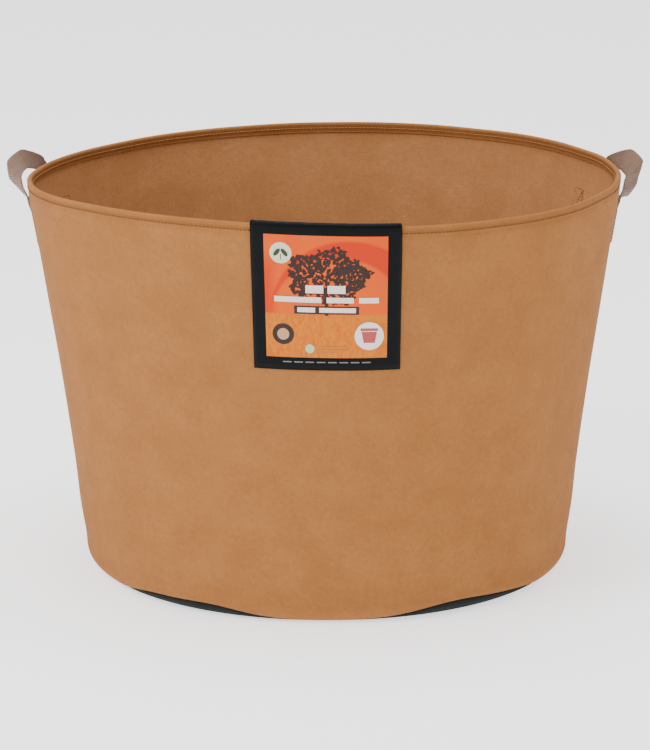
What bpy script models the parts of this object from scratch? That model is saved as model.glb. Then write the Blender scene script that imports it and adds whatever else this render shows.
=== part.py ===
"""Fabric grow bag: a round felt plant pot with a dark base and two webbing handles.

Metres, +Z up. The origin is the middle of the underside, and the front, with the label, faces -Y.
Angles round the bag are degrees from the front, positive towards +X.
"""
import bpy
import bmesh
from math import asin, atan2, cos, hypot, pi, radians, sin
from mathutils import Matrix, Vector

# Driving dimensions
HEIGHT = 0.410             # floor to the top of the hem
RIM_RADIUS = 0.305         # outer face of the wall at the rim
FOOT_RADIUS = 0.2484       # where the straight wall would meet the floor
CORNER_RADIUS = 0.022      # round of the bag's lower edge
FELT = 0.0024              # thickness of the needle felt
PLY_GAP = 0.0004           # air between two plies or two pieces that touch
HEM_DEPTH = 0.010          # how far the top edge is folded down inside
HEM_STITCH_DROP = 0.0075   # hem stitches below the top
SEAM_HEIGHT = 0.008        # base seam above the floor
SEAM_ALLOWANCE = 0.008     # turned-in edge of wall and base at the seam
SIDE_SEAM_ANGLE = -85.0
SIDE_ALLOWANCE = 0.010
THREAD_RADIUS = 0.0004
THREAD_GAP = 0.0003
TURN_STEPS = 72            # facets round the bag, 5 degrees each

STRAP_WIDTH = 0.025
STRAP_THICKNESS = 0.0018
HINGE_HEIGHT = 0.375       # where the strap bends away from the wall
TAB_LENGTH = 0.036
HINGE_HALF_GAP = 0.0040    # bare strap left out on each side of the hinge line, where it bends
LOOP_STANDOFF = 0.0025     # middle of the strap off the wall where the loop starts
TAB_ANGLES = {"front": 90.0, "rear": 112.0}
STITCH_INSET = 0.0035      # box stitching inside the tab's edges

LABEL_ANGLE = 27.0
LABEL_CENTRE = 0.5
LABEL_DROP = 0.143         # printed face, down from the rim
LABEL_FLAP = 0.035         # plain flap inside the bag
LABEL_THICKNESS = 0.0006
LABEL_CLEARANCE = 0.0020   # room for the hem stitches behind the label
LABEL_STEPS = 6

# The wall's straight line in the radius-height plane
TAPER = atan2(RIM_RADIUS - FOOT_RADIUS, HEIGHT)
UP_WALL = Vector((sin(TAPER), cos(TAPER)))
INTO_BAG = Vector((-cos(TAPER), sin(TAPER)))
CORNER_CENTRE = Vector((
    FOOT_RADIUS + CORNER_RADIUS * (sin(TAPER) - 1.0) / cos(TAPER),
    CORNER_RADIUS,
))
SEAM_TURN = asin(SEAM_HEIGHT / CORNER_RADIUS - 1.0)
SEAM_OUT = Vector((cos(SEAM_TURN), sin(SEAM_TURN)))
SEAM_UP = Vector((-sin(SEAM_TURN), cos(SEAM_TURN)))

# The free part of a right-hand handle, as pairs of edge points across the strap. Each point is
# (outward, backward, up) from the rim at 90 degrees: lower edge first, then upper edge.
LOOP_SECTIONS = (
    ((0.0017, -0.0050, -0.0252), (0.0114, 0.0170, -0.0290)),
    ((0.0054, 0.0080, -0.0205), (0.0214, 0.0250, -0.0176)),
    ((0.0084, 0.0180, -0.0111), (0.0239, 0.0360, -0.0118)),
    ((0.0110, 0.0400, -0.0125), (0.0289, 0.0400, 0.0036)),
    ((0.0067, 0.0640, -0.0100), (0.0183, 0.0600, 0.0123)),
    ((-0.0100, 0.0980, -0.0180), (-0.0034, 0.0880, 0.0003)),
)
LOOP_SUBSTEPS = 4


def clear_scene():
    for obj in list(bpy.data.objects):
        bpy.data.objects.remove(obj, do_unlink=True)


def new_collection(name):
    collection = bpy.data.collections.new(name)
    bpy.context.scene.collection.children.link(collection)
    return collection


def material(name, colour, roughness):
    mat = bpy.data.materials.new(name)
    mat.use_nodes = True
    shader = mat.node_tree.nodes["Principled BSDF"]
    shader.inputs["Base Color"].default_value = (*colour, 1.0)
    shader.inputs["Roughness"].default_value = roughness
    shader.inputs["Metallic"].default_value = 0.0
    return mat


def add_object(name, mesh, collection, mat, location=(0.0, 0.0, 0.0), turn=0.0):
    obj = bpy.data.objects.new(name, mesh)
    obj.location = location
    obj.rotation_euler = (0.0, 0.0, turn)
    collection.objects.link(obj)
    if mat:
        obj.data.materials.append(mat)
    return obj


def mesh_from(bm, name):
    mesh = bpy.data.meshes.new(name)
    bm.to_mesh(mesh)
    bm.free()
    return mesh


def profile_mesh(name, points, closed):
    """A line of (radius, height) points in the XZ plane, ready for a Screw modifier."""
    bm = bmesh.new()
    verts = [bm.verts.new((radius, 0.0, height)) for radius, height in points]
    for first, second in zip(verts, verts[1:]):
        bm.edges.new((first, second))
    if closed:
        bm.edges.new((verts[-1], verts[0]))
    return mesh_from(bm, name)


def turn_profile(obj, angle=2.0 * pi, steps=TURN_STEPS):
    screw = obj.modifiers.new("turn", "SCREW")
    screw.axis = "Z"
    screw.angle = angle
    screw.steps = steps
    screw.render_steps = steps
    screw.use_merge_vertices = True
    screw.merge_threshold = 0.00001
    screw.use_smooth_shade = True
    return screw


def wall_radius(height):
    return FOOT_RADIUS + (RIM_RADIUS - FOOT_RADIUS) * height / HEIGHT


def wall_point(angle, height, out):
    """A point at an angle round the bag, a given distance outside the wall's outer face."""
    turn = radians(angle)
    radius = wall_radius(height) + out
    return Vector((radius * sin(turn), -radius * cos(turn), height))


def arc(centre, radius, start, end, steps):
    """Points along an arc in the radius-height plane, both ends included."""
    angles = [start + (end - start) * step / steps for step in range(steps + 1)]
    return [Vector((centre.x + radius * cos(a), centre.y + radius * sin(a))) for a in angles]


def hem_centre():
    """Middle of the fold at the top edge."""
    fold = FELT + PLY_GAP / 2
    rim = Vector((RIM_RADIUS, HEIGHT))
    drop = fold * (1.0 + INTO_BAG.y) / UP_WALL.y
    return rim - UP_WALL * drop + INTO_BAG * fold


def seam_point(out, up):
    """A point beside the base seam: out from the corner's centre, and up along the corner."""
    return CORNER_CENTRE + SEAM_OUT * out + SEAM_UP * up


def wall_profile():
    fold = FELT + PLY_GAP / 2
    centre = hem_centre()
    half_gap = PLY_GAP / 2
    lap = half_gap + FELT
    inner = CORNER_RADIUS - FELT
    points = arc(centre, fold, pi - TAPER, -TAPER, 6)
    points += arc(CORNER_CENTRE, CORNER_RADIUS, -TAPER, SEAM_TURN + 0.12, 3)
    points.append(seam_point(CORNER_RADIUS, half_gap))
    points.append(seam_point(CORNER_RADIUS - SEAM_ALLOWANCE, half_gap))
    points.append(seam_point(CORNER_RADIUS - SEAM_ALLOWANCE, lap))
    points.append(seam_point(inner, lap))
    points += arc(CORNER_CENTRE, inner, SEAM_TURN + 0.22, -TAPER, 2)
    points += arc(centre, half_gap, -TAPER, pi - TAPER, 2)
    hem_end = HEM_DEPTH - fold
    points.append(centre + INTO_BAG * half_gap - UP_WALL * hem_end)
    points.append(centre + INTO_BAG * fold - UP_WALL * hem_end)
    return points


def base_profile():
    half_gap = PLY_GAP / 2
    lap = half_gap + FELT
    inner = CORNER_RADIUS - FELT
    points = [Vector((0.0, FELT))]
    points += arc(CORNER_CENTRE, inner, -pi / 2, SEAM_TURN - 0.22, 2)
    points.append(seam_point(inner, -lap))
    points.append(seam_point(CORNER_RADIUS - SEAM_ALLOWANCE, -lap))
    points.append(seam_point(CORNER_RADIUS - SEAM_ALLOWANCE, -half_gap))
    points.append(seam_point(CORNER_RADIUS, -half_gap))
    points += arc(CORNER_CENTRE, CORNER_RADIUS, SEAM_TURN - 0.12, -pi / 2, 3)
    points.append(Vector((0.0, 0.0)))
    return points


def slanted_box(name, depth, width, low, high, into):
    """A box that leans with the wall at the side seam, its middle `into` metres inside the wall."""
    bm = bmesh.new()
    bmesh.ops.create_cube(bm, size=1.0)
    length = (high - low) / UP_WALL.y
    bmesh.ops.scale(bm, verts=bm.verts, vec=(depth, width, length))
    bmesh.ops.rotate(bm, verts=bm.verts, matrix=Matrix.Rotation(TAPER, 3, "Y"))
    middle = (low + high) / 2
    bmesh.ops.translate(bm, verts=bm.verts, vec=(wall_radius(middle) - into, 0.0, middle))
    return mesh_from(bm, name)


def add_boolean(obj, operation, tool):
    cut = obj.modifiers.new(operation.lower(), "BOOLEAN")
    cut.operation = operation
    cut.solver = "EXACT"
    cut.object = tool


def side_turn():
    return radians(SIDE_SEAM_ANGLE - 90.0)


def add_wall(parts, cutters, felt):
    wall = add_object("wall_panel", profile_mesh("wall_panel", wall_profile(), True), parts, felt)
    turn_profile(wall)
    width = 2 * FELT + PLY_GAP
    depth = SIDE_ALLOWANCE + FELT / 2
    low = SEAM_HEIGHT + CORNER_RADIUS
    high = HEIGHT - HEM_DEPTH - 0.001
    allowance_mesh = slanted_box("side_allowance", depth, width, low, high, FELT / 2 + depth / 2)
    allowance = add_object("side_allowance", allowance_mesh, cutters, None, turn=side_turn())
    slit_mesh = slanted_box("panel_ends", 0.080, PLY_GAP, -0.02, HEIGHT + 0.02, 0.020)
    slit = add_object("panel_ends", slit_mesh, cutters, None, turn=side_turn())
    for tool in (allowance, slit):
        tool.hide_render = True
        tool.display_type = "WIRE"
    add_boolean(wall, "UNION", allowance)
    add_boolean(wall, "DIFFERENCE", slit)


def add_base(parts, felt):
    base = add_object("base_disc", profile_mesh("base_disc", base_profile(), False), parts, felt)
    turn_profile(base)


def add_thread_ring(name, parts, mat, radius, height):
    """One thread of a row of stitches that runs right round the bag."""
    bpy.ops.mesh.primitive_torus_add(
        major_segments=TURN_STEPS, minor_segments=4,
        major_radius=radius, minor_radius=THREAD_RADIUS, location=(0.0, 0.0, height))
    ring = bpy.context.object
    ring.name = name
    ring.data.name = name
    for collection in list(ring.users_collection):
        collection.objects.unlink(ring)
    parts.objects.link(ring)
    ring.data.materials.append(mat)


def add_round_seams(parts, thread, dark_thread):
    stand = THREAD_RADIUS + THREAD_GAP
    height = HEIGHT - HEM_STITCH_DROP
    needle = wall_radius(height) + stand / cos(TAPER)
    add_thread_ring("hem_needle_thread", parts, thread, needle, height)
    hem = 2 * FELT + PLY_GAP
    bobbin = wall_radius(height) - (hem + stand) / cos(TAPER)
    add_thread_ring("hem_bobbin_thread", parts, thread, bobbin, height)
    row = CORNER_RADIUS - FELT - 0.0030
    lift = PLY_GAP / 2 + FELT + stand
    above = seam_point(row, lift)
    add_thread_ring("base_seam_needle_thread", parts, dark_thread, above.x, above.y)
    below = seam_point(row, -lift)
    add_thread_ring("base_seam_bobbin_thread", parts, dark_thread, below.x, below.y)


def add_side_seam(parts, thread):
    """The two threads that lie on either face of the side seam's allowance."""
    low = SEAM_HEIGHT + CORNER_RADIUS + 0.002
    high = HEIGHT - HEM_DEPTH - 0.003
    side = FELT + PLY_GAP / 2 + THREAD_RADIUS + THREAD_GAP
    middle = (low + high) / 2
    inset = FELT + 0.004
    for name, offset in (("side_seam_needle_thread", side), ("side_seam_bobbin_thread", -side)):
        bm = bmesh.new()
        bmesh.ops.create_cone(
            bm, cap_ends=True, segments=6, radius1=THREAD_RADIUS, radius2=THREAD_RADIUS,
            depth=(high - low) / UP_WALL.y)
        bmesh.ops.rotate(bm, verts=bm.verts, matrix=Matrix.Rotation(TAPER, 3, "Y"))
        place = (wall_radius(middle) - inset, offset, middle)
        bmesh.ops.translate(bm, verts=bm.verts, vec=place)
        add_object(name, mesh_from(bm, name), parts, thread, turn=side_turn())


def tab_matrix(angle, out):
    """Frame of a sewn tab: X along the rim, Y out of the wall, Z up the wall."""
    turn = radians(angle)
    middle = HINGE_HEIGHT - HINGE_HALF_GAP - TAB_LENGTH / 2
    along = Vector((cos(turn), sin(turn), 0.0))
    up = Vector((sin(TAPER) * sin(turn), -sin(TAPER) * cos(turn), cos(TAPER)))
    outward = along.cross(up)
    frame = Matrix((outward.cross(up), outward, up)).transposed().to_4x4()
    frame.translation = wall_point(angle, middle, 0.0) + outward * out
    return frame


def add_tab(name, parts, webbing, angle):
    bm = bmesh.new()
    bmesh.ops.create_cube(bm, size=1.0)
    bmesh.ops.scale(bm, verts=bm.verts, vec=(STRAP_WIDTH, STRAP_THICKNESS, TAB_LENGTH))
    out = PLY_GAP + STRAP_THICKNESS / 2
    bmesh.ops.transform(bm, verts=bm.verts, matrix=tab_matrix(angle, out))
    add_object(name, mesh_from(bm, name), parts, webbing)


def add_box_stitch(name, parts, thread, angle, out):
    """A closed rectangle of thread, on the tab or on the inside of the wall behind it."""
    curve = bpy.data.curves.new(name, "CURVE")
    curve.dimensions = "3D"
    curve.bevel_depth = THREAD_RADIUS
    curve.bevel_resolution = 0
    spline = curve.splines.new("POLY")
    spline.use_cyclic_u = True
    spline.points.add(3)
    half_width = STRAP_WIDTH / 2 - STITCH_INSET
    half_length = TAB_LENGTH / 2 - STITCH_INSET
    corners = ((-1, -1), (1, -1), (1, 1), (-1, 1))
    frame = tab_matrix(angle, out)
    for point, (across, up) in zip(spline.points, corners):
        place = frame @ Vector((across * half_width, 0.0, up * half_length))
        point.co = (*place, 1.0)
    add_object(name, curve, parts, thread)


def hinge_middle(side):
    """Middle of a handle's hinge line, between the tops of its two tabs."""
    out = PLY_GAP + STRAP_THICKNESS / 2
    ends = [wall_point(side * angle, HINGE_HEIGHT, out) for angle in TAB_ANGLES.values()]
    return (ends[0] + ends[1]) / 2


def loop_rails(side):
    """The strap's two edges from front tab to rear tab: lists of world points."""
    lower = []
    upper = []
    for section in LOOP_SECTIONS:
        for rail, (outward, back, up) in zip((lower, upper), section):
            rail.append(Vector((side * (RIM_RADIUS + outward), back, HEIGHT + up)))
    for key, angle in TAB_ANGLES.items():
        middle = wall_point(side * angle, HINGE_HEIGHT + HINGE_HALF_GAP, LOOP_STANDOFF)
        turn = radians(side * angle)
        away = Vector((cos(turn), sin(turn), 0.0)) * side * STRAP_WIDTH / 2
        if key == "front":
            lower.insert(0, middle - away)
            upper.insert(0, middle + away)
        else:
            lower.append(middle + away)
            upper.append(middle - away)
    return lower, upper


def smooth_points(points, substeps):
    """Points on a smooth curve through the given ones, with no swing past them on short spans."""
    ends = [points[0] * 2 - points[1]] + points + [points[-1] * 2 - points[-2]]
    headings = [(after - before).normalized() for before, after in zip(ends, ends[2:])]
    result = []
    for start, end, leave, arrive in zip(points, points[1:], headings, headings[1:]):
        span = (end - start).length
        for step in range(substeps):
            t = step / substeps
            result.append(
                start * (1 - t) ** 2 * (1 + 2 * t) + end * t ** 2 * (3 - 2 * t)
                + leave * span * t * (1 - t) ** 2 - arrive * span * t ** 2 * (1 - t))
    result.append(points[-1])
    return result


def add_loop(name, parts, webbing, side):
    """The free part of a handle: a thin strap lofted between its two edges."""
    lower, upper = (smooth_points(rail, LOOP_SUBSTEPS) for rail in loop_rails(side))
    origin = hinge_middle(side)
    bm = bmesh.new()
    rows = []
    for low, high in zip(lower, upper):
        row = [low - origin, (low + high) / 2 - origin, high - origin]
        rows.append([bm.verts.new(place) for place in row])
    for row, following in zip(rows, rows[1:]):
        for column in range(2):
            corners = (row[column], row[column + 1], following[column + 1], following[column])
            bm.faces.new(corners if side > 0 else corners[::-1])
    loop = add_object(name, mesh_from(bm, name), parts, webbing, location=origin)
    skin = loop.modifiers.new("thickness", "SOLIDIFY")
    skin.thickness = STRAP_THICKNESS
    skin.offset = 0.0
    skin.use_even_offset = True


def add_handle(side_name, side, parts, webbing, thread):
    for place, angle in TAB_ANGLES.items():
        tab = f"handle_{side_name}_{place}_tab"
        add_tab(tab, parts, webbing, side * angle)
        out = PLY_GAP + STRAP_THICKNESS + THREAD_GAP + THREAD_RADIUS
        add_box_stitch(f"{tab}_needle_thread", parts, thread, side * angle, out)
        inside = -(FELT + 3 * THREAD_RADIUS)
        add_box_stitch(f"{tab}_bobbin_thread", parts, thread, side * angle, inside)
    add_loop(f"handle_{side_name}_loop", parts, webbing, side)


def add_label(parts, card):
    """A printed card folded over the rim: long face outside, short flap inside."""
    centre = hem_centre()
    fold = FELT + PLY_GAP / 2 + LABEL_CLEARANCE
    face_end = centre - INTO_BAG * fold - UP_WALL * LABEL_DROP
    flap_end = centre + INTO_BAG * fold - UP_WALL * LABEL_FLAP
    points = [flap_end] + arc(centre, fold, pi - TAPER, -TAPER, 6) + [face_end]
    turn = radians(-90.0 + LABEL_CENTRE - LABEL_ANGLE / 2)
    label = add_object("label_card", profile_mesh("label_card", points, False), parts, card, turn=turn)
    turn_profile(label, radians(LABEL_ANGLE), LABEL_STEPS)
    skin = label.modifiers.new("card", "SOLIDIFY")
    skin.thickness = LABEL_THICKNESS
    skin.offset = 1.0


clear_scene()
parts_collection = new_collection("grow_bag")
cutters_collection = new_collection("grow_bag_cutters")
tan_felt = material("tan_felt", (0.52, 0.27, 0.13), 0.95)
dark_felt = material("dark_felt", (0.016, 0.019, 0.019), 0.95)
brown_webbing = material("brown_webbing", (0.30, 0.17, 0.11), 0.70)
tan_thread = material("tan_thread", (0.46, 0.25, 0.13), 0.60)
black_thread = material("black_thread", (0.012, 0.012, 0.012), 0.60)
black_card = material("black_card", (0.010, 0.011, 0.012), 0.35)

add_wall(parts_collection, cutters_collection, tan_felt)
add_base(parts_collection, dark_felt)
add_round_seams(parts_collection, tan_thread, black_thread)
add_side_seam(parts_collection, tan_thread)
for handle_name, handle_side in (("right", 1), ("left", -1)):
    add_handle(handle_name, handle_side, parts_collection, brown_webbing, tan_thread)
add_label(parts_collection, black_card)
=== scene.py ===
"""Fabric grow bag: a soft felt plant pot with a dark base, two webbing handles and a card label."""
from math import atan2, cos, degrees, exp, hypot, pi, radians, sin
from random import Random

import bmesh
import bpy
from mathutils import Matrix, Vector


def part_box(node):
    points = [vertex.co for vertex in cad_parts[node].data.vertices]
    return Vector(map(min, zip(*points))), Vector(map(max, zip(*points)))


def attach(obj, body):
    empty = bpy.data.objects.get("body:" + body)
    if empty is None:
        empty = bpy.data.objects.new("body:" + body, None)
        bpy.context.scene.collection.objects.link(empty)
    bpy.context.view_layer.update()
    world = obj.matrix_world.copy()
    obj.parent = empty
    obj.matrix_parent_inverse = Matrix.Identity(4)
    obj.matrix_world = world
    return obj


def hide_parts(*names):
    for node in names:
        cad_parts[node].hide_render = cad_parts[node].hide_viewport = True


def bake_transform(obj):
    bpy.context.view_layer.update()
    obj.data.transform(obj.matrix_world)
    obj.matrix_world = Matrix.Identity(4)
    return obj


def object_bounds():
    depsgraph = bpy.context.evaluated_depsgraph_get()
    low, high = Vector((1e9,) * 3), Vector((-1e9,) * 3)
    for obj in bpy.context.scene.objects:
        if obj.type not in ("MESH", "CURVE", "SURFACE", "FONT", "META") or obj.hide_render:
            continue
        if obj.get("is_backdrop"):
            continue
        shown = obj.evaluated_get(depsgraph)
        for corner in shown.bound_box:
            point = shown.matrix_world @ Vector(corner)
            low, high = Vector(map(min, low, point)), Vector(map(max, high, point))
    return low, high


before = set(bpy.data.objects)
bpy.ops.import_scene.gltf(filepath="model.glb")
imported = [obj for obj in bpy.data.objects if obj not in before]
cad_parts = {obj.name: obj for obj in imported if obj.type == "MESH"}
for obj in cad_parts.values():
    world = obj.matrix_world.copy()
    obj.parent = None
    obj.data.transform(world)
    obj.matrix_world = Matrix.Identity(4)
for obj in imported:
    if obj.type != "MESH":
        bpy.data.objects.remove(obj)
cad_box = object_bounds()

# ---------------------------------------------------------------------------------------------
# Felt wall. One panel of tan needle felt, cut as a curved band and sewn into a tapered tube. Its
# top edge is folded in once for a hem, its two ends meet in a seam in front of the left handle
# with the allowance inside, and its lower edge is turned in where the dark base joins it.
FELT = 0.0024
PLY = 0.0023                # middle to middle of two plies sewn together, a little squeezed
HEM_PLY = 0.0034            # the same in the hem, which stands a little open
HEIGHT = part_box("wall_panel")[1].z
RIM_RADIUS = 0.305
FOOT_RADIUS = 0.2484        # where the straight wall would meet the floor
CORNER_RADIUS = 0.022
SIDE_SEAM = -85.0           # degrees from the front, positive towards +X
HEM_DEPTH = 0.010
HEM_STITCHES = 0.0072       # down from the rim
ALLOWANCE = 0.008
EVEN_SEAM = radians(-52.0)  # the base seam's place round the lower corner, before it wanders
COLUMNS = 432
TAPER = atan2(RIM_RADIUS - FOOT_RADIUS, HEIGHT)
UP_WALL = Vector((sin(TAPER), cos(TAPER)))
INTO_BAG = Vector((-cos(TAPER), sin(TAPER)))
CORNER = Vector((FOOT_RADIUS + CORNER_RADIUS * (sin(TAPER) - 1) / cos(TAPER), CORNER_RADIUS))
RIM = Vector((RIM_RADIUS, HEIGHT))

# Waves of the soft rim, and slack folds of the wall: waves round the bag, size, degrees to a
# crest. RIM_WAVES is the third-order result of a least-squares fit, not a choice by hand.
RIM_WAVES = ((1, 0.0023, 112), (2, 0.0034, -34), (3, 0.0013, -38))
WALL_FOLDS = (
    (2, 0.0008, 40), (5, 0.0005, 10), (9, 0.0005, -70), (13, 0.0005, -62), (22, 0.0003, -75))
LEAN = 0.0018
# Where the base seam rises round the corner: degrees from the front, width, share of the rise
SEAM_HUMPS = (
    (30, 16, 1.05), (51, 14, 0.58), (-27, 14, 0.95), (-46, 12, 0.72),
    (131, 22, 0.9), (-142, 23, 0.8))


def waves(angle, table):
    return sum(size * cos(count * radians(angle - crest)) for count, size, crest in table)


def ease(value, low, high):
    t = min(max((value - low) / (high - low), 0.0), 1.0)
    return t * t * (3 - 2 * t)


def hump(value, centre, width):
    return exp(-((value - centre) / width) ** 2)


def slump(co):
    """Where the soft felt stands, for a point of the even cone: it leans, bellies and waves."""
    angle = degrees(atan2(co.x, -co.y))
    radius = hypot(co.x, co.y)
    belly = 0.0019 * hump(co.z, 0.060, 0.035) - 0.0011 * hump(co.z, 0.200, 0.090)
    belly += 0.0013 * hump(co.z, 0.385, 0.030)
    belly += 0.0030 * hump(co.z, 0.006, 0.018) * ease(radius, 0.12, 0.22)
    slack = waves(angle, WALL_FOLDS) * ease(co.z, 0.03, 0.34)
    slack *= 1.0 - 0.4 * cos(radians(angle + 70))
    scale = (radius + belly + slack) / radius if radius > 0.1 else 1.0
    lift = waves(angle, RIM_WAVES) * ease(co.z, 0.16, 0.40)
    lean = LEAN * (1 - 2 * co.z / HEIGHT)
    return Vector((co.x * scale + lean, co.y * scale, co.z + lift))


def seam_turn(angle):
    """How far round the lower corner the base seam lies: low in front, high at the quarters."""
    rise = 0.0
    for centre, width, share in SEAM_HUMPS:
        rise += share * hump(angle, centre, width)
    return radians(-80.0 + 55.0 * rise)


def wander(co, hold):
    """Slides the corner's cloth round the corner with the seam; the end at `hold` stays."""
    radius = hypot(co.x, co.y)
    out = Vector((radius, co.z)) - CORNER
    turn = atan2(out.y, out.x)
    if out.x < 0.0 or turn > -TAPER or out.length > 2 * CORNER_RADIUS:
        return co.copy()
    angle = degrees(atan2(co.x, -co.y))
    turn = hold + (turn - hold) * (seam_turn(angle) - hold) / (EVEN_SEAM - hold)
    moved = CORNER.x + out.length * cos(turn)
    return Vector((co.x * moved / radius, co.y * moved / radius, CORNER.y + out.length * sin(turn)))


def arc(centre, radius, start, end, steps):
    turns = [start + (end - start) * step / steps for step in range(steps + 1)]
    return [Vector((centre.x + radius * cos(t), centre.y + radius * sin(t))) for t in turns]


def beside_corner(turn, out, up):
    """A point out from the corner's centre at a turn round it, and up along the corner."""
    across = Vector((cos(turn), sin(turn)))
    return CORNER + across * out + Vector((-across.y, across.x)) * up


def around(point, angle):
    """A radius and height, placed at an angle round the bag."""
    turn = radians(angle)
    return Vector((point.x * sin(turn), -point.x * cos(turn), point.y))


def on_wall(angle, drop, out):
    """A point of the even wall's outer face, down from the rim, and out from it."""
    return around(RIM - UP_WALL * drop - INTO_BAG * out, angle)


def finished(bm, name, *materials):
    """Makes a smooth mesh object of a bmesh, at the origin."""
    mesh = bpy.data.meshes.new(name)
    bm.to_mesh(mesh)
    bm.free()
    mesh.shade_smooth()
    for material in materials:
        mesh.materials.append(material)
    obj = bpy.data.objects.new(name, mesh)
    bpy.context.scene.collection.objects.link(obj)
    return obj


def thicken(obj, thickness):
    skin = obj.modifiers.new("thickness", "SOLIDIFY")
    skin.thickness = thickness
    skin.offset = 0.0


def line_of(bm, points, angle):
    verts = [bm.verts.new(around(point, angle)) for point in points]
    return verts + [bm.edges.new(pair) for pair in zip(verts, verts[1:])]


class Finish:
    """A named material, with its shader at `shader` and a short way to add and join nodes."""

    def __init__(self, name, **settings):
        self.material = bpy.data.materials.new(name)
        self.material.use_nodes = True
        self.tree = self.material.node_tree
        self.shader = self.tree.nodes["Principled BSDF"]
        for socket, value in settings.items():
            self.shader.inputs[socket.replace("_", " ")].default_value = value

    def node(self, kind, inputs=(), **settings):
        made = self.tree.nodes.new("ShaderNode" + kind)
        for setting, value in settings.items():
            setattr(made, setting, value)
        for socket, value in dict(inputs).items():
            if isinstance(value, bpy.types.NodeSocket):
                self.tree.links.new(value, made.inputs[socket])
            else:
                made.inputs[socket].default_value = value
        return made

    def where(self, kind="Object"):
        return self.node("TexCoord").outputs[kind]

    def noise(self, where, scale, detail=3.0, rough=0.5, swirl=0.0, stretch=None):
        if stretch:
            where = self.node("Mapping", {"Vector": where, "Scale": stretch}).outputs[0]
        inputs = {"Vector": where, "Scale": scale, "Detail": detail, "Roughness": rough,
                  "Distortion": swirl}
        return self.node("TexNoise", inputs).outputs["Fac"]

    def math(self, operation, a, b=0.0, clamp=False):
        made = self.node("Math", {0: a, 1: b}, operation=operation, use_clamp=clamp)
        return made.outputs[0]

    def scaled(self, value, low, high, to_low=0.0, to_high=1.0):
        inputs = {"Value": value, "From Min": low, "From Max": high, "To Min": to_low,
                  "To Max": to_high}
        return self.node("MapRange", inputs).outputs[0]

    def mix(self, share, a, b, blend="MIX"):
        made = self.node("Mix", {0: share, 6: a, 7: b}, data_type="RGBA", blend_type=blend)
        return made.outputs[2]

    def colour(self, value):
        self.tree.links.new(value, self.shader.inputs["Base Color"])

    def bump(self, height, distance, strength=1.0, under=None):
        inputs = {"Height": height, "Distance": distance, "Strength": strength}
        if under:
            inputs["Normal"] = under
        return self.node("Bump", inputs).outputs[0]

    def normal(self, value):
        self.tree.links.new(value, self.shader.inputs["Normal"])


def felt_finish(name, light, dark, deep, fuzz):
    """Needle felt: matted short fibres, cloudy where the batt was sparse, with a dull soft nap; along the hem,
    painted shade darkens the band above the stitches and a painted highlight lightens the rim's top edge.
    """
    felt = Finish(name, Roughness=0.95, Sheen_Weight=fuzz, Sheen_Roughness=0.6)
    felt.shader.inputs["Specular IOR Level"].default_value = 0.15
    felt.shader.inputs["Sheen Tint"].default_value = (*light[:3], 1.0)
    where = felt.where()
    clouds = felt.noise(where, 26.0, 4.0, 0.6)
    mottle = felt.noise(where, 210.0, 4.0, 0.65, 0.6)
    fibres = felt.noise(where, 900.0, 3.0, 0.6, 1.6)
    shade = felt.mix(felt.scaled(clouds, 0.35, 0.65), light, dark)
    shade = felt.mix(felt.scaled(mottle, 0.36, 0.70, 0.0, 0.42), shade, deep)
    fuzzy = (*[channel * 1.25 for channel in light[:3]], 1)
    shade = felt.mix(felt.scaled(fibres, 0.45, 0.72, 0.0, 0.35), shade, fuzzy)
    # Painted light from the hem attribute: positive values mix in the deep tone as painted shade, negative ones
    # a lighter tone as a painted highlight.
    painted_hem_shading = felt.node("Attribute", attribute_name="hem_shade_and_highlight").outputs["Fac"]
    shade = felt.mix(felt.math("MULTIPLY", painted_hem_shading, 0.85, True), shade, deep)
    painted_highlight_colour = (*[channel * 1.35 for channel in light[:3]], 1)
    shade = felt.mix(felt.math("MULTIPLY", painted_hem_shading, -0.7, True), shade, painted_highlight_colour)
    felt.colour(shade)
    soft = felt.bump(mottle, 0.0012, 0.55)
    felt.normal(felt.bump(fibres, 0.0006, 0.6, under=soft))
    return felt.material


tan_felt = felt_finish(
    "tan felt", (0.325, 0.134, 0.040, 1), (0.282, 0.112, 0.032, 1), (0.210, 0.077, 0.020, 1), 0.05)
# Painted light: the inside faces are the same felt, coloured lighter than the outside to offset the shade inside
# the bag.
tan_felt_inside_painted_lighter = felt_finish(
    "tan felt inside", (0.455, 0.205, 0.078, 1), (0.395, 0.172, 0.062, 1), (0.300, 0.122, 0.042, 1), 0.05)


def hem_middle():
    fold = (FELT + HEM_PLY) / 2
    return RIM - UP_WALL * fold * (1 + INTO_BAG.y) / UP_WALL.y + INTO_BAG * fold


def puff(drop):
    """How far each ply of the hem stands from its line: the thread draws the two plies together."""
    return -0.0007 * hump(drop, 0.0062, 0.0024)


def loft(drop):
    """Share of the felt's thickness left where the thread or the cut edge squeezes it."""
    return 1.0 - 0.38 * hump(drop, 0.0062, 0.0022)


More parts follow.
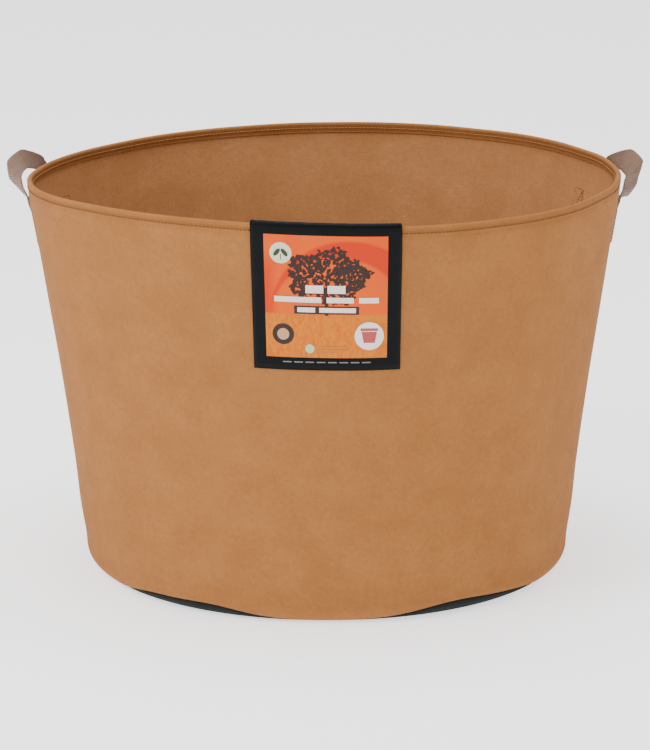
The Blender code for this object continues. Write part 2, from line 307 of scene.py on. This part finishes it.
def wall_line():
    """The panel's middle surface, from its turned-in lower edge to the end of the hem."""
    middle = CORNER_RADIUS - FELT / 2
    lap = PLY / 2
    depths = (ALLOWANCE, 0.0055, 0.0034, 0.0019)
    points = [beside_corner(EVEN_SEAM, middle - depth, lap) for depth in depths]
    points.append(beside_corner(EVEN_SEAM, middle - 0.0006, lap + 0.0006))
    points += arc(CORNER, middle, EVEN_SEAM + 0.14, -TAPER, 10)
    hem = hem_middle()
    outer = hem - INTO_BAG * HEM_PLY / 2
    inner = hem + INTO_BAG * HEM_PLY / 2
    length = (outer - points[-1]).length
    drops = [length * (1 - step / 40) for step in range(1, 39)]
    drops += [0.0152, 0.0130, 0.0110, 0.0096, 0.0084, 0.0076, 0.0068, 0.0056, 0.0044, 0.0030, 0.0014]
    points += [outer - UP_WALL * drop - INTO_BAG * puff(drop) for drop in drops if drop > 0.001]
    points += arc(hem, HEM_PLY / 2, -TAPER, pi - TAPER, 8)
    downs = (0.0014, 0.0030, 0.0044, 0.0056, 0.0068, 0.0076, 0.0086, HEM_DEPTH - 0.0010)
    settle = [ease(down, 0.0040, HEM_DEPTH) * 0.0011 for down in downs]
    points += [
        inner - UP_WALL * down + INTO_BAG * (puff(down) - close)
        for down, close in zip(downs, settle)]
    return points


bm = bmesh.new()
squeeze = bm.verts.layers.deform.verify()
hem_shade_and_highlight = bm.verts.layers.float.new("hem_shade_and_highlight")
line = line_of(bm, wall_line(), SIDE_SEAM)
for vert in bm.verts:
    radius, height = hypot(vert.co.x, vert.co.y), vert.co.z
    from_rim = (RIM - Vector((radius, height))).dot(UP_WALL)
    inside = height > HEIGHT / 2 and (Vector((radius, height)) - RIM).dot(INTO_BAG) > FELT
    # Painted shade on the hem band about 5 mm below the rim, and a painted highlight (negative values) along the
    # rim's top edge.
    vert[hem_shade_and_highlight] = hump(from_rim, 0.0053, 0.0021) - 0.8 * hump(from_rim, 0.0, 0.0022)
    vert[squeeze][0] = loft(from_rim) * (1.0 - 0.55 * ease(from_rim, 0.0076, HEM_DEPTH) * inside)
first = [part for part in line if isinstance(part, bmesh.types.BMVert)]
spun = bmesh.ops.spin(
    bm, geom=line, cent=(0, 0, 0), axis=(0, 0, 1), angle=2 * pi, steps=COLUMNS, use_merge=False)
last = [part for part in spun["geom_last"] if isinstance(part, bmesh.types.BMVert)]
seam_along = Vector((cos(radians(SIDE_SEAM)), sin(radians(SIDE_SEAM)), 0.0))
seam_inward = Vector((-sin(radians(SIDE_SEAM)), cos(radians(SIDE_SEAM)), 0.0))
for ends, side in ((first, 1), (last, -1)):
    turned = [
        vert for vert in ends
        if 0.030 < vert.co.z < HEIGHT - 0.0135]
    for vert in ends:
        vert.co += seam_along * side * 0.00001
    for vert in turned:
        vert.co += seam_along * side * (PLY / 2 - 0.00001) + seam_inward * 0.0014
    joined = [vert for vert in ends if 0.024 < vert.co.z < HEIGHT - 0.0120]
    edges = [edge for edge in bm.edges if edge.verts[0] in joined and edge.verts[1] in joined]
    for depth in (0.0030, 0.0055):
        grown = bmesh.ops.extrude_edge_only(bm, edges=edges)["geom"]
        verts = [part for part in grown if isinstance(part, bmesh.types.BMVert)]
        bmesh.ops.translate(bm, verts=verts, vec=seam_inward * depth)
        for vert in verts:
            vert.co += seam_along * (side * PLY / 2 - vert.co.dot(seam_along))
        edges = [
            part for part in grown
            if isinstance(part, bmesh.types.BMEdge) and set(part.verts) <= set(verts)]
bmesh.ops.recalc_face_normals(bm, faces=bm.faces)
wall_face = next(face for face in bm.faces if 0.2 < face.calc_center_median().z < 0.3)
if wall_face.normal.dot(wall_face.calc_center_median() * Vector((1, 1, 0))) < 0:
    bmesh.ops.reverse_faces(bm, faces=bm.faces)
for vert in bm.verts:
    vert.co = slump(wander(vert.co, -TAPER))
wall = finished(bm, "felt_wall", tan_felt, tan_felt_inside_painted_lighter)
thicken(wall, FELT)
wall.modifiers["thickness"].material_offset = 1
wall.vertex_groups.new(name="loft")
wall.modifiers["thickness"].vertex_group = "loft"
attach(wall, "bag")
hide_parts("wall_panel")

# ---------------------------------------------------------------------------------------------
# Base. A disc of dark needle felt, dished up round the lower corner, whose edge is turned in
# and sewn to the wall's lower edge with black thread, with both allowances inside the bag.
dark_felt = felt_finish(
    "dark felt", (0.0170, 0.0190, 0.0190, 1), (0.0120, 0.0140, 0.0140, 1),
    (0.0070, 0.0080, 0.0080, 1), 0.06)


def base_line():
    middle = CORNER_RADIUS - FELT / 2
    lap = -PLY / 2
    floor = CORNER.y - middle
    points = [Vector((0.0, floor))]
    points += [Vector((CORNER.x * share, floor)) for share in (0.2, 0.4, 0.6, 0.8, 0.92)]
    points += arc(CORNER, middle, -pi / 2, EVEN_SEAM - 0.14, 9)
    points.append(beside_corner(EVEN_SEAM, middle - 0.0006, lap - 0.0006))
    depths = (0.0019, 0.0034, 0.0055, ALLOWANCE)
    points += [beside_corner(EVEN_SEAM, middle - depth, lap) for depth in depths]
    return points


bm = bmesh.new()
line = line_of(bm, base_line(), SIDE_SEAM)
bmesh.ops.spin(
    bm, geom=line, cent=(0, 0, 0), axis=(0, 0, 1), angle=2 * pi, steps=COLUMNS // 2, use_merge=True)
bmesh.ops.remove_doubles(bm, verts=bm.verts, dist=0.00001)
bmesh.ops.recalc_face_normals(bm, faces=bm.faces)
for vert in bm.verts:
    vert.co = slump(wander(vert.co, -pi / 2))
base = finished(bm, "felt_base", dark_felt)
thicken(base, FELT)
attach(base, "bag")
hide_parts("base_disc")

# ---------------------------------------------------------------------------------------------
# Lockstitched seams. Each row is a pair of twisted polyester threads: the needle thread shows on
# one face of the cloth and the bobbin thread on the other, and each dips in at every stitch.
THREAD = 0.00048


def thread_finish(name, colour, dark):
    thread = Finish(name, Roughness=0.75)
    thread.shader.inputs["Specular IOR Level"].default_value = 0.2
    twist = thread.noise(thread.where(), 1500.0, 2.0, 0.5)
    thread.colour(thread.mix(twist, colour, dark))
    thread.normal(thread.bump(twist, 0.0003, 0.6))
    return thread.material


# Partly painted light: the outside thread's own tan is darkened to stand for the shade in the stitch holes, and
# the inside thread is a lighter copy matched to the inside felt's painted lighter colour.
tan_thread = thread_finish("tan thread", (0.210, 0.088, 0.030, 1), (0.130, 0.052, 0.018, 1))
inside_thread = thread_finish("tan thread inside", (0.400, 0.185, 0.070, 1), (0.330, 0.145, 0.052, 1))
black_thread = thread_finish("black thread", (0.016, 0.016, 0.016, 1), (0.008, 0.008, 0.008, 1))


def stitches(name, place, count, material, closed, lie, sink):
    """A thread through `count` stitches, where place(along, out) gives a point of the seam."""
    curve = bpy.data.curves.new(name, "CURVE")
    curve.dimensions = "3D"
    curve.bevel_depth = THREAD
    curve.bevel_resolution = 1
    curve.use_fill_caps = True
    shape = ((0.0, -sink), (0.13, -sink), (0.22, lie), (0.5, lie + 0.0002), (0.78, lie), (0.87, -sink))
    points = [
        place((stitch + share) / count, out) for stitch in range(count) for share, out in shape]
    if not closed:
        points.append(place(1.0, -sink))
    spline = curve.splines.new("POLY")
    spline.points.add(len(points) - 1)
    for knot, point in zip(spline.points, points):
        knot.co = (*point, 1.0)
    spline.use_cyclic_u = closed
    curve.materials.append(material)
    thread = bpy.data.objects.new(name, curve)
    bpy.context.scene.collection.objects.link(thread)
    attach(thread, "bag")
    return thread


def hem_outside(along, out):
    return slump(on_wall(360 * along, HEM_STITCHES, out + puff(HEM_STITCHES)))


def hem_inside(along, out):
    hem = FELT + HEM_PLY + puff(HEM_STITCHES)
    return slump(on_wall(360 * along, HEM_STITCHES, -hem - out))


def base_seam(side, hold):
    def place(along, out):
        row = CORNER_RADIUS - FELT / 2 - 0.0045
        up = side * ((PLY + FELT) / 2 + out)
        return slump(wander(around(beside_corner(EVEN_SEAM, row, up), 360 * along), hold))
    return place


def side_seam(side):
    def place(along, out):
        point = around(RIM - UP_WALL * (0.022 + 0.352 * along) + INTO_BAG * 0.0062, SIDE_SEAM)
        return slump(point + seam_along * side * ((PLY + FELT) / 2 + out))
    return place


for name, place, count, material, closed in (
        ("hem_needle_thread", hem_outside, 470, tan_thread, True),
        ("hem_bobbin_thread", hem_inside, 470, inside_thread, True),
        ("base_seam_needle_thread", base_seam(1, -TAPER), 400, black_thread, True),
        ("base_seam_bobbin_thread", base_seam(-1, -pi / 2), 400, black_thread, True),
        ("side_seam_needle_thread", side_seam(1), 92, tan_thread, False),
        ("side_seam_bobbin_thread", side_seam(-1), 92, tan_thread, False)):
    seam = stitches(name.replace("thread", "stitches"), place, count, material, closed, 0.0002, 0.0008)
    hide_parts(name)

# ---------------------------------------------------------------------------------------------
# Handles. Each is one length of ribbed polypropylene webbing: both ends lie on the wall below
# the hem and are sewn down with a crossed box, and the length between them arches up, flops
# outward over the side and twists as it comes back.
STRAP = 0.025
WEBBING = 0.0018
TAB_LOW = 0.0755            # down from the rim to a tab's lower end
HINGE_LOW = 0.371           # height where the sewn tab ends
HINGE_HIGH = 0.379          # height where the free strap starts
TAB_ANGLES = {1: (90.0, 112.0), -1: (92.5, 112.0)}
STANDOFF = 0.0025
CREASE = 0.5
# Pairs of edge points across the free strap: (outward, backward, up) from the rim's side, first
# for the edge that hangs lower and then for the one above it
RIGHT_SECTIONS = (
    ((0.0017, -0.0050, -0.0252), (0.0114, 0.0170, -0.0290)),
    ((0.0054, 0.0080, -0.0205), (0.0214, 0.0250, -0.0176)),
    ((0.0084, 0.0180, -0.0111), (0.0239, 0.0360, -0.0118)),
    ((0.0110, 0.0400, -0.0125), (0.0289, 0.0400, 0.0036)),
    ((0.0067, 0.0640, -0.0100), (0.0183, 0.0600, 0.0123)),
    ((-0.0100, 0.0980, -0.0180), (-0.0034, 0.0880, 0.0003)))
LEFT_SECTIONS = (
    ((0.0010, -0.0060, -0.0244), (0.0042, 0.0180, -0.0292)),
    ((0.0058, 0.0040, -0.0183), (0.0130, 0.0240, -0.0212)),
    ((0.0080, 0.0120, -0.0101), (0.0220, 0.0320, -0.0136)),
    ((0.0081, 0.0300, -0.0079), (0.0256, 0.0460, 0.0020)),
    ((0.0052, 0.0620, -0.0082), (0.0129, 0.0680, 0.0106)),
    ((-0.0130, 0.0980, -0.0190), (-0.0080, 0.0900, -0.0008)))

webbing = Finish("webbing", Roughness=0.62, Sheen_Weight=0.15, Sheen_Roughness=0.4)
strap_map = webbing.where("UV")
along_strap = webbing.node("SeparateXYZ", {"Vector": strap_map})
rib_share = webbing.math("FRACT", webbing.math("DIVIDE", along_strap.outputs["X"], 0.0030))
rib = webbing.math("SINE", webbing.math("MULTIPLY", rib_share, pi))
pick_share = webbing.math("FRACT", webbing.math("DIVIDE", along_strap.outputs["Y"], 0.0011))
pick = webbing.math("SINE", webbing.math("MULTIPLY", pick_share, pi))
weave = webbing.math("MULTIPLY", webbing.math("POWER", rib, 0.6), webbing.scaled(pick, 0, 1, 0.55, 1.0))
wear = webbing.noise(webbing.where(), 120.0, 4.0, 0.6)
dyed = webbing.mix(webbing.scaled(wear, 0.3, 0.7), (0.330, 0.180, 0.110, 1), (0.265, 0.140, 0.084, 1))
# Painted shade: the grooves between the webbing's ribs are darkened towards a deep brown.
webbing.colour(webbing.mix(webbing.scaled(weave, 0.0, 0.9, 0.9, 0.0), dyed, (0.085, 0.042, 0.026, 1)))
webbing.normal(webbing.bump(weave, 0.0011, 1.0))


def smooth_points(points, substeps, softness):
    """Points on a curve through the given ones: softness 1 is a smooth bend, and 0 is a crease."""
    ends = [points[0] * 2 - points[1]] + points + [points[-1] * 2 - points[-2]]
    headings = [(after - before).normalized() for before, after in zip(ends, ends[2:])]
    result = []
    for start, end, leave, arrive in zip(points, points[1:], headings, headings[1:]):
        span = (end - start).length
        for step in range(substeps):
            t = step / substeps
            result.append(
                start * (1 - t) ** 2 * (1 + 2 * t) + end * t ** 2 * (3 - 2 * t)
                + (leave * t * (1 - t) ** 2 - arrive * t ** 2 * (1 - t)) * span * softness)
    result.append(points[-1])
    return result


def leg_pair(side, angle, height, out):
    """The strap's two edges where it lies on the wall, towards the front edge first."""
    turn = radians(side * angle)
    middle = on_wall(side * angle, (HEIGHT - height) / UP_WALL.y, out)
    along = Vector((cos(turn), sin(turn), 0.0)) * side * STRAP / 2
    settled = slump(middle) - middle
    return middle - along + settled, middle + along + settled


def strap_rails(side, sections):
    """The strap's two edges from the front tab's lower end to the rear tab's."""
    lie = 0.0002 + WEBBING / 2
    heights = [HEIGHT - TAB_LOW * UP_WALL.y + step * 0.006 for step in range(6)]
    heights = [height for height in heights if height < HINGE_LOW - 0.002] + [HINGE_LOW]
    front_angle, rear_angle = TAB_ANGLES[side]
    front = [leg_pair(side, front_angle, height, lie) for height in heights]
    front.append(leg_pair(side, front_angle, HINGE_HIGH, STANDOFF))
    rear = [leg_pair(side, rear_angle, height, lie)[::-1] for height in heights]
    rear.append(leg_pair(side, rear_angle, HINGE_HIGH, STANDOFF)[::-1])
    free = [
        [Vector((side * (RIM_RADIUS + outward) - LEAN, back, HEIGHT + up))
         for outward, back, up in section]
        for section in sections]
    pairs = front + free + rear[::-1]
    return [smooth_points([pair[edge] for pair in pairs], 6, CREASE) for edge in (0, 1)]


for side_name, side, sections in (("right", 1, RIGHT_SECTIONS), ("left", -1, LEFT_SECTIONS)):
    lower, upper = strap_rails(side, sections)
    middles = [(low + high) / 2 for low, high in zip(lower, upper)]
    reach = [0.0]
    for before, after in zip(middles, middles[1:]):
        reach.append(reach[-1] + (after - before).length)
    bm = bmesh.new()
    rows = len(lower)
    bmesh.ops.create_grid(bm, x_segments=rows - 1, y_segments=8, size=0.5)
    woven = bm.loops.layers.uv.new("woven")
    for face in bm.faces:
        for loop in face.loops:
            step = round((loop.vert.co.x + 0.5) * (rows - 1))
            loop[woven].uv = (reach[step], (loop.vert.co.y + 0.5) * STRAP)
    for vert in bm.verts:
        step = round((vert.co.x + 0.5) * (rows - 1))
        vert.co = lower[step].lerp(upper[step], vert.co.y + 0.5)
    if side < 0:
        bmesh.ops.reverse_faces(bm, faces=bm.faces)
    strap = finished(bm, f"handle_{side_name}_strap", webbing.material)
    thicken(strap, WEBBING)
    edge = strap.modifiers.new("rounded edge", "BEVEL")
    edge.width = 0.0005
    edge.segments = 2
    edge.limit_method = "ANGLE"
    edge.angle_limit = radians(50)
    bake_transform(strap)
    nodes = [f"handle_{side_name}_{part}" for part in ("front_tab", "rear_tab", "loop")]
    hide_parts(*nodes)


def box_path(half_width, half_length):
    """A crossed box in one run: round the outside, then corner to corner."""
    a, b, c, d = ((-1, -1), (1, -1), (1, 1), (-1, 1))
    corners = [Vector((x * half_width, y * half_length)) for x, y in (a, b, c, d, a, c, b, d)]
    path = []
    for start, end in zip(corners, corners[1:]):
        count = max(2, round((end - start).length / 0.0032))
        path += [start.lerp(end, step / count) for step in range(count)]
    return path + [corners[-1]]


TAB_MIDDLE = TAB_LOW - 0.0185
for side_name, side in (("right", 1), ("left", -1)):
    for tab, angle in zip(("front", "rear"), TAB_ANGLES[side]):
        path = box_path(STRAP / 2 - 0.0035, 0.0150)
        for face, stand in (("needle", WEBBING + 0.0002), ("bobbin", None)):
            turn = radians(side * angle)
            along = Vector((cos(turn), sin(turn), 0.0))

            def tab_point(progress, out):
                spot = progress * (len(path) - 1)
                low = min(int(spot), len(path) - 2)
                across, up = path[low].lerp(path[low + 1], spot - low)
                if stand is None:
                    out = -FELT - out
                else:
                    out = stand + out
                place = on_wall(side * angle, TAB_MIDDLE - up, out)
                return slump(place) + along * across
            colour = tan_thread if face == "needle" else inside_thread
            thread = stitches(
                f"handle_{side_name}_{tab}_{face}_stitches", tab_point, len(path) - 1, colour,
                False, 0.0002, 0.0006)
            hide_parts(f"handle_{side_name}_{tab}_tab_{face}_thread")

# ---------------------------------------------------------------------------------------------
# Label. A film-laminated card folded over the rim: the long printed face hangs outside and a
# short plain flap inside. The print is generic: a leafy bush over a plain ground, bars, discs.
CARD_ANGLE = 27.0
CARD_CENTRE = 0.5
CARD_WIDTH = 0.144
CARD_DROP = 0.143
CARD_FLAP = 0.035
CARD = 0.0006
CARD_OFF = 0.0012
CARD_RISE = 0.0018          # slack of the fold above the rim
CARD_SPREAD = 0.045         # the card stays square while the wall narrows below the rim

card = Finish("printed card", Roughness=0.42)
card.shader.inputs["Specular IOR Level"].default_value = 0.08
card_map = card.node("SeparateXYZ", {"Vector": card.where("UV")})
across, up = card_map.outputs["X"], card_map.outputs["Y"]


def inside_box(finish, left, right, low, high):
    steps = [
        finish.math("GREATER_THAN", across, left), finish.math("LESS_THAN", across, right),
        finish.math("GREATER_THAN", up, low), finish.math("LESS_THAN", up, high)]
    share = steps[0]
    for step in steps[1:]:
        share = finish.math("MULTIPLY", share, step)
    return share


def disc_share(finish, x, y, radius, soft=0.0015):
    from_x = finish.math("SUBTRACT", across, x)
    from_y = finish.math("SUBTRACT", up, y)
    squares = finish.math("ADD", finish.math("MULTIPLY", from_x, from_x),
                          finish.math("MULTIPLY", from_y, from_y))
    return finish.scaled(finish.math("SQRT", squares), radius - soft, radius + soft, 1.0, 0.0)


ORANGE = (0.640, 0.092, 0.006, 1)
RED = (0.500, 0.022, 0.006, 1)
GOLD = (0.560, 0.165, 0.010, 1)
AMBER = (0.480, 0.090, 0.006, 1)
washes = card.noise(card.where("UV"), 24.0, 3.0, 0.5, 0.8)
sky = card.mix(card.scaled(washes, 0.42, 0.62, 0.0, 0.45), ORANGE, (0.600, 0.060, 0.010, 1))
arch = card.math(
    "SUBTRACT", disc_share(card, 0.022, 0.055, 0.076), disc_share(card, 0.012, 0.048, 0.066), True)
sky = card.mix(card.math("MULTIPLY", arch, 0.85), sky, RED)
band = card.scaled(across, -0.056, -0.045, 0.75, 0.0)
band = card.math("MULTIPLY", band, card.scaled(up, 0.10, 0.12, 1.0, 0.0))
sky = card.mix(band, sky, RED)
soil = card.noise(card.where("UV"), 160.0, 4.0, 0.6, 2.0, (1.0, 0.45, 1.0))
ground = card.mix(card.scaled(soil, 0.40, 0.70), GOLD, AMBER)
field = card.mix(card.math("GREATER_THAN", up, 0.0570), ground, sky)
inks = card.mix(inside_box(card, -0.0590, 0.0585, 0.0130, 0.1360), (0.0020, 0.0026, 0.0030, 1), field)
card.colour(inks)
scuffs = card.noise(card.where(), 90.0, 3.0, 0.5)
card.tree.links.new(card.scaled(scuffs, 0.3, 0.7, 0.36, 0.50), card.shader.inputs["Roughness"])


def card_line():
    """The card's line, from the flap's end over the rim and down to the face's lower edge."""
    hem = hem_middle() + UP_WALL * CARD_RISE
    fold = FELT / 2 + HEM_PLY / 2 + CARD_OFF
    flap_end = hem + INTO_BAG * fold - UP_WALL * CARD_FLAP
    points = [flap_end.lerp(hem + INTO_BAG * fold, step / 6) for step in range(6)]
    points += arc(hem, fold, pi - TAPER, -TAPER, 10)
    top = points[-1]
    return points + [top - UP_WALL * CARD_DROP * step / 24 for step in range(1, 25)]


def spread(height):
    return 1 + CARD_SPREAD * min(max((HEIGHT - height) / CARD_DROP, 0.0), 1.0)


def card_place(x, y, out):
    """A point of the printed face: across from its middle, up from its lower edge, and out."""
    top = hem_middle() + UP_WALL * CARD_RISE - INTO_BAG * (FELT / 2 + HEM_PLY / 2 + CARD_OFF)
    point = top - UP_WALL * (CARD_DROP - y) - INTO_BAG * out
    return slump(around(point, CARD_CENTRE + x / CARD_WIDTH * CARD_ANGLE * spread(point.y)))


bm = bmesh.new()
print_map = bm.loops.layers.uv.new("print")
far = bm.verts.layers.float.new("far")
profile = card_line()
line = line_of(bm, profile, CARD_CENTRE - CARD_ANGLE / 2)
distance = 0.0
for vert, point, below in zip(line[len(profile) - 1::-1], profile[::-1], profile[-1:] + profile[:0:-1]):
    distance += (point - below).length
    vert[far] = distance
bmesh.ops.spin(bm, geom=line, cent=(0, 0, 0), axis=(0, 0, 1), angle=radians(CARD_ANGLE), steps=36)
bmesh.ops.remove_doubles(bm, verts=bm.verts, dist=0.000001)
for face in bm.faces:
    for loop in face.loops:
        angle = degrees(atan2(loop.vert.co.x, -loop.vert.co.y))
        loop[print_map].uv = ((angle - CARD_CENTRE) / CARD_ANGLE * CARD_WIDTH, loop.vert[far])
bmesh.ops.recalc_face_normals(bm, faces=bm.faces)
for vert in bm.verts:
    angle = degrees(atan2(vert.co.x, -vert.co.y)) - CARD_CENTRE
    turn = Matrix.Rotation(radians(angle * (spread(vert.co.z) - 1)), 3, "Z")
    vert.co = slump(turn @ vert.co)
label = finished(bm, "label_folded_card", card.material)
thicken(label, CARD)
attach(label, "bag")
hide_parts("label_card")


def ink(name, bm, colour, layer, rough=0.45):
    """Wraps a flat patch of ink, drawn in metres across and up the face, onto the card."""
    for vert in bm.verts:
        vert.co = card_place(vert.co.x, vert.co.y, CARD / 2 + 0.00012 * layer)
    bmesh.ops.recalc_face_normals(bm, faces=bm.faces)
    finish = Finish(f"ink {name}", Roughness=rough)
    finish.shader.inputs["Specular IOR Level"].default_value = 0.22
    grain = finish.noise(finish.where(), 700.0, 2.0, 0.5)
    darker = (*[channel * 0.82 for channel in colour], 1)
    finish.colour(finish.mix(finish.scaled(grain, 0.35, 0.65), (*colour, 1), darker))
    patch = finished(bm, f"label_ink_{name}", finish.material)
    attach(patch, "bag")


def disc(bm, x, y, radius):
    """A round patch of rings, so that it follows the card's curve."""
    spokes = [bm.verts.new((radius * share, 0.0, 0.0)) for share in (0.0, 0.3, 0.6, 0.85, 1.0)]
    edges = [bm.edges.new(pair) for pair in zip(spokes, spokes[1:])]
    before = set(bm.verts) - set(spokes)
    bmesh.ops.spin(
        bm, geom=spokes + edges, cent=(0, 0, 0), axis=(0, 0, 1), angle=2 * pi, steps=40, use_merge=True)
    made = [vert for vert in bm.verts if vert not in before]
    bmesh.ops.translate(bm, verts=made, vec=(x, y, 0.0))
    bmesh.ops.remove_doubles(bm, verts=bm.verts, dist=0.000001)


def leaf(bm, x, y, radius, squeeze, turn):
    made = bmesh.ops.create_circle(bm, cap_ends=True, radius=radius, segments=8)["verts"]
    bmesh.ops.scale(bm, verts=made, vec=(1.0, squeeze, 1.0))
    bmesh.ops.rotate(bm, verts=made, matrix=Matrix.Rotation(turn, 3, "Z"))
    bmesh.ops.translate(bm, verts=made, vec=(x, y, 0.0))
    return made


def bar(bm, left, right, low, high, taper=1.0):
    """A plain bar, cut across so that it follows the card's curve; taper narrows its foot."""
    count = max(1, round((right - left) / 0.008))
    made = bmesh.ops.create_grid(bm, x_segments=count, y_segments=1, size=0.5)["verts"]
    foot = [vert for vert in made if vert.co.y < 0]
    bmesh.ops.scale(bm, verts=foot, vec=(taper, 1.0, 1.0))
    bmesh.ops.scale(bm, verts=made, vec=(right - left, high - low, 1.0))
    bmesh.ops.translate(bm, verts=made, vec=((left + right) / 2, (low + high) / 2, 0.0))


draw = Random(7)
bm = bmesh.new()
for _ in range(620):
    turn = draw.uniform(0, 2 * pi)
    reach_out = draw.random() ** 0.45
    ragged = 1 + 0.10 * sin(5 * turn + 1.0) + 0.06 * sin(11 * turn)
    leaf_x = 0.0015 + 0.0375 * reach_out * ragged * cos(turn)
    leaf_y = 0.0950 + 0.0270 * reach_out * ragged * sin(turn)
    leaf(bm, leaf_x, leaf_y, draw.uniform(0.0018, 0.0034), 0.48, draw.uniform(0.0, pi))
ink("bush", bm, (0.030, 0.012, 0.008), 1)
bm = bmesh.new()
bar(bm, -0.0016, 0.0016, 0.056, 0.076)
ink("bush_stem", bm, (0.022, 0.010, 0.007), 1)
bm = bmesh.new()
bar(bm, -0.031, 0.031, 0.0575, 0.0655)
ink("dark_band", bm, (0.020, 0.016, 0.016), 2)
bm = bmesh.new()
for left, right, low, high in (
        (-0.020, -0.003, 0.0785, 0.0865), (0.001, 0.018, 0.0785, 0.0865),
        (-0.050, -0.005, 0.0690, 0.0745), (0.000, 0.026, 0.0690, 0.0745),
        (0.031, 0.050, 0.0690, 0.0745), (-0.028, -0.011, 0.0592, 0.0640),
        (-0.007, 0.028, 0.0592, 0.0640)):
    bar(bm, left, right, low, high)
ink("pale_bars", bm, (0.760, 0.700, 0.620), 3)
bm = bmesh.new()
disc(bm, -0.0430, 0.1180, 0.0105)
ink("leaf_badge", bm, (0.640, 0.620, 0.440), 2)
bm = bmesh.new()
leaf(bm, -0.0466, 0.1185, 0.0048, 0.45, 0.9)
leaf(bm, -0.0394, 0.1185, 0.0048, 0.45, -0.9)
bar(bm, -0.0434, -0.0426, 0.1110, 0.1170)
ink("leaf_badge_leaves", bm, (0.030, 0.045, 0.020), 3)
bm = bmesh.new()
disc(bm, -0.0420, 0.0365, 0.0105)
ink("colour_badge", bm, (0.030, 0.013, 0.009), 2)
bm = bmesh.new()
disc(bm, -0.0420, 0.0365, 0.0058)
ink("colour_badge_centre", bm, (0.500, 0.270, 0.140), 3)
bm = bmesh.new()
disc(bm, 0.0410, 0.0355, 0.0142)
ink("size_badge", bm, (0.780, 0.720, 0.680), 2)
bm = bmesh.new()
bar(bm, 0.0335, 0.0485, 0.0285, 0.0400, 0.72)
bar(bm, 0.0325, 0.0495, 0.0408, 0.0435)
ink("size_badge_pot", bm, (0.420, 0.060, 0.060), 3)
bm = bmesh.new()
disc(bm, -0.0165, 0.0222, 0.0045)
ink("sprout_badge", bm, (0.380, 0.560, 0.300), 2)
bm = bmesh.new()
bar(bm, -0.009, 0.018, 0.0243, 0.0250)
bar(bm, -0.009, 0.022, 0.0214, 0.0221)
bar(bm, -0.009, 0.010, 0.0185, 0.0192)
ink("fine_bars", bm, (0.380, 0.130, 0.040), 2)
bm = bmesh.new()
for step in range(8):
    bar(bm, -0.043 + step * 0.011, -0.0345 + step * 0.011, 0.0078, 0.0090)
ink("foot_bars", bm, (0.160, 0.150, 0.140), 2)

# ---------------------------------------------------------------------------------------------
# Floor, light and camera.
bm = bmesh.new()
bmesh.ops.create_grid(bm, x_segments=2, y_segments=2, size=14.0)
floor_finish = Finish("pale floor", Roughness=0.9)
floor_finish.shader.inputs["Base Color"].default_value = (0.95, 0.95, 0.95, 1)
floor_finish.shader.inputs["Emission Color"].default_value = (1.0, 1.0, 1.0, 1)
floor_finish.shader.inputs["Emission Strength"].default_value = 1.2
floor = finished(bm, "floor", floor_finish.material)
floor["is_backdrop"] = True

world = bpy.data.worlds.new("pale room")
world.use_nodes = True
sky_light = world.node_tree.nodes["Background"]
sky_light.inputs["Color"].default_value = (1.0, 1.0, 1.0, 1)
sky_light.inputs["Strength"].default_value = 1.05
bpy.context.scene.world = world

for name, place, size, power in (
        ("key", (-1.9, -1.5, 2.2), 1.4, 48.0), ("overhead", (0.0, 0.1, 2.6), 1.2, 34.0)):
    lamp = bpy.data.lights.new(name, "AREA")
    lamp.energy = power
    lamp.size = size
    holder = bpy.data.objects.new(name, lamp)
    holder.location = place
    holder.rotation_euler = (Vector((0, 0, 0.2)) - Vector(place)).to_track_quat("-Z", "Y").to_euler()
    bpy.context.scene.collection.objects.link(holder)

lens = bpy.data.cameras.new("camera")
lens.lens = 150.765
lens.sensor_width = 36.0
lens.clip_end = 50.0
camera = bpy.data.objects.new("camera", lens)
camera.location = (0.0, -3.2, 0.96826)
camera.rotation_euler = (radians(76.3796), 0.0, 0.0)
bpy.context.scene.collection.objects.link(camera)
bpy.context.scene.camera = camera

boxes = {name: [list(corner) for corner in box] for name, box in (("cad", cad_box), ("visual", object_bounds()))}
